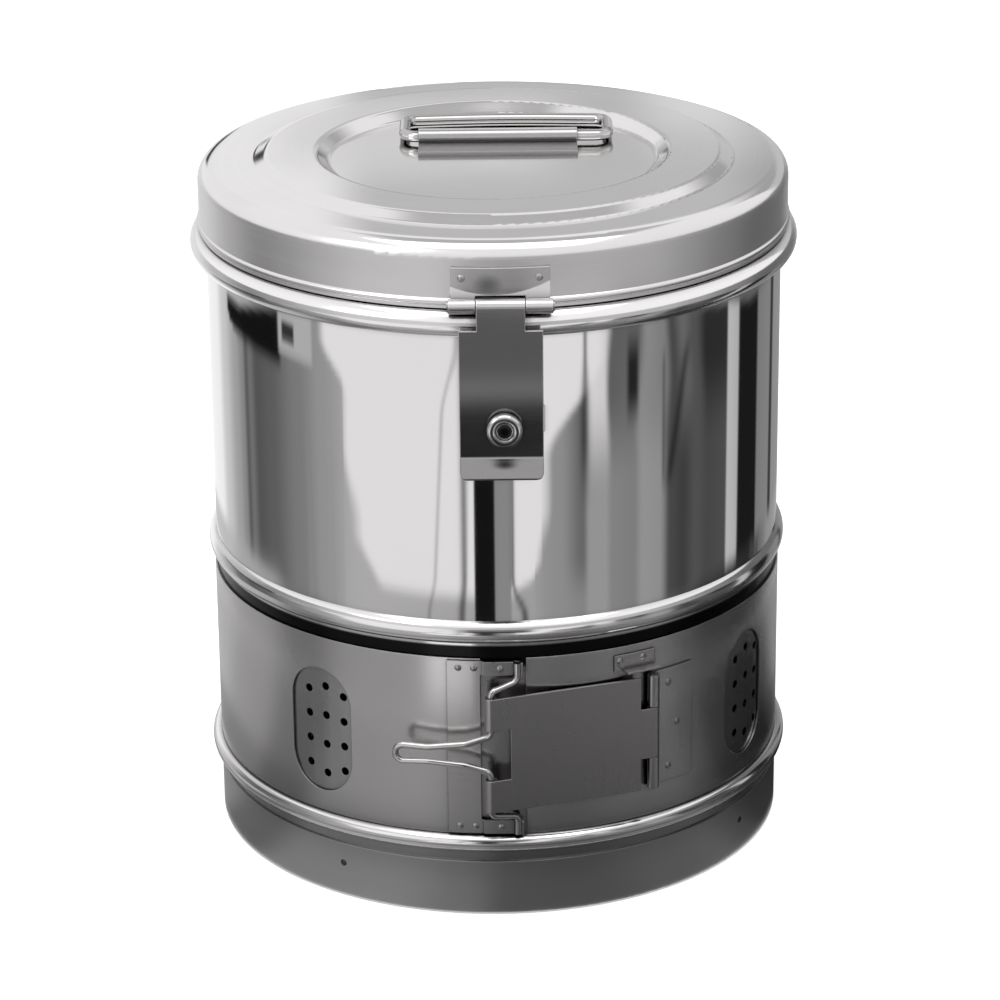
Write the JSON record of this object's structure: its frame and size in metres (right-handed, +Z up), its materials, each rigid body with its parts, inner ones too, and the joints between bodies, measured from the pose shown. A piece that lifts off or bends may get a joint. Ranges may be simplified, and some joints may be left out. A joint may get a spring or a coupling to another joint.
{
  "type": "sterilization container",
  "caption": "Round stainless dressing drum with a hinged lid, folding wire handle, hasp with turn knob, and a turning vent band closed by a wire toggle clasp.",
  "frame": {"origin": "on the drum's axis, in the plane of the foot rim that it stands on", "axes": "+Z up along the axis, -Y to the front with the hasp and clasp, +X to the right seen from the front"},
  "size_m": [0.2415, 0.2538, 0.2825],
  "materials": {
    "polished_steel": "mirror polished",
    "lid_steel": "bright satin",
    "band_steel": "fine brushed",
    "satin_steel": "satin",
    "hinge_steel": "semi-bright",
    "wire_steel": "bright",
    "rivet_steel": "satin"
  },
  "bodies": {
    "drum": {"drum_shell": "polished_steel", "rim_hoop": "polished_steel", "middle_hoop": "polished_steel", "lower_hoop": "polished_steel", "base_pan": "satin_steel", "foot_skirt": "satin_steel", "skirt_rivets": "rivet_steel", "keeper_clips": "hinge_steel", "keeper_rivets": "rivet_steel", "body_hinge_leaf": "hinge_steel", "body_leaf_rivets": "rivet_steel"},
    "lid": {"lid_pan": "lid_steel", "lid_hinge_leaf": "hinge_steel", "lid_leaf_rivets": "rivet_steel", "lid_hinge_pin": "wire_steel", "hasp_wall_leaf": "hinge_steel", "hasp_rivets": "rivet_steel", "hasp_pin": "wire_steel", "handle_cleat": "hinge_steel"},
    "lid_handle": {"lid_bail": "wire_steel"},
    "hasp": {"hasp_leaf": "hinge_steel"},
    "knob": {"turn_knob": "wire_steel", "knob_tongue": "hinge_steel"},
    "shutter": {"shutter_band": "band_steel", "lever_bracket": "band_steel", "bracket_rivets": "rivet_steel", "clasp_hinge_leaf": "satin_steel", "clasp_leaf_rivets": "rivet_steel", "clasp_hinge_pin": "wire_steel", "band_tab": "band_steel", "tab_rivets": "rivet_steel"},
    "clasp": {"clasp_plate": "satin_steel"},
    "lever": {"wire_lever": "wire_steel"}
  },
  "joints": [
    {"name": "lid_swing", "type": "hinge", "parent": "drum", "child": "lid", "pos_m": [0, 0.1212, 0.2542], "axis": [-1, 0, 0], "range_deg": [0, 105]},
    {"name": "handle_fold", "type": "hinge", "parent": "lid", "child": "lid_handle", "pos_m": [0, 0.02, 0.27926], "axis": [1, 0, 0], "range_deg": [0, 175]},
    {"name": "hasp_swing", "type": "hinge", "parent": "lid", "child": "hasp", "pos_m": [0.0023, -0.1212, 0.2542], "axis": [-1, 0, 0], "range_deg": [0, 135]},
    {"name": "knob_turn", "type": "hinge", "parent": "hasp", "child": "knob", "pos_m": [0.0034, -0.124, 0.2072], "axis": [0, -1, 0], "range_deg": [0, 90]},
    {"name": "shutter_turn", "type": "hinge", "parent": "drum", "child": "shutter", "pos_m": [0, 0, 0.07265], "axis": [0, 0, 1], "continuous": true},
    {"name": "clasp_swing", "type": "hinge", "parent": "shutter", "child": "clasp", "pos_m": [0.06045, -0.10141, 0.07265], "axis": [0, 0, 1], "range_deg": [0, 100]},
    {"name": "lever_swing", "type": "hinge", "parent": "clasp", "child": "lever", "pos_m": [-0.00299, -0.12246, 0.07265], "axis": [0, 0, 1], "range_deg": [0, 151]}
  ],
  "couplings": [
    {"joint": "lever_swing", "follows": "clasp_swing", "ratio": 1.5}
  ]
}
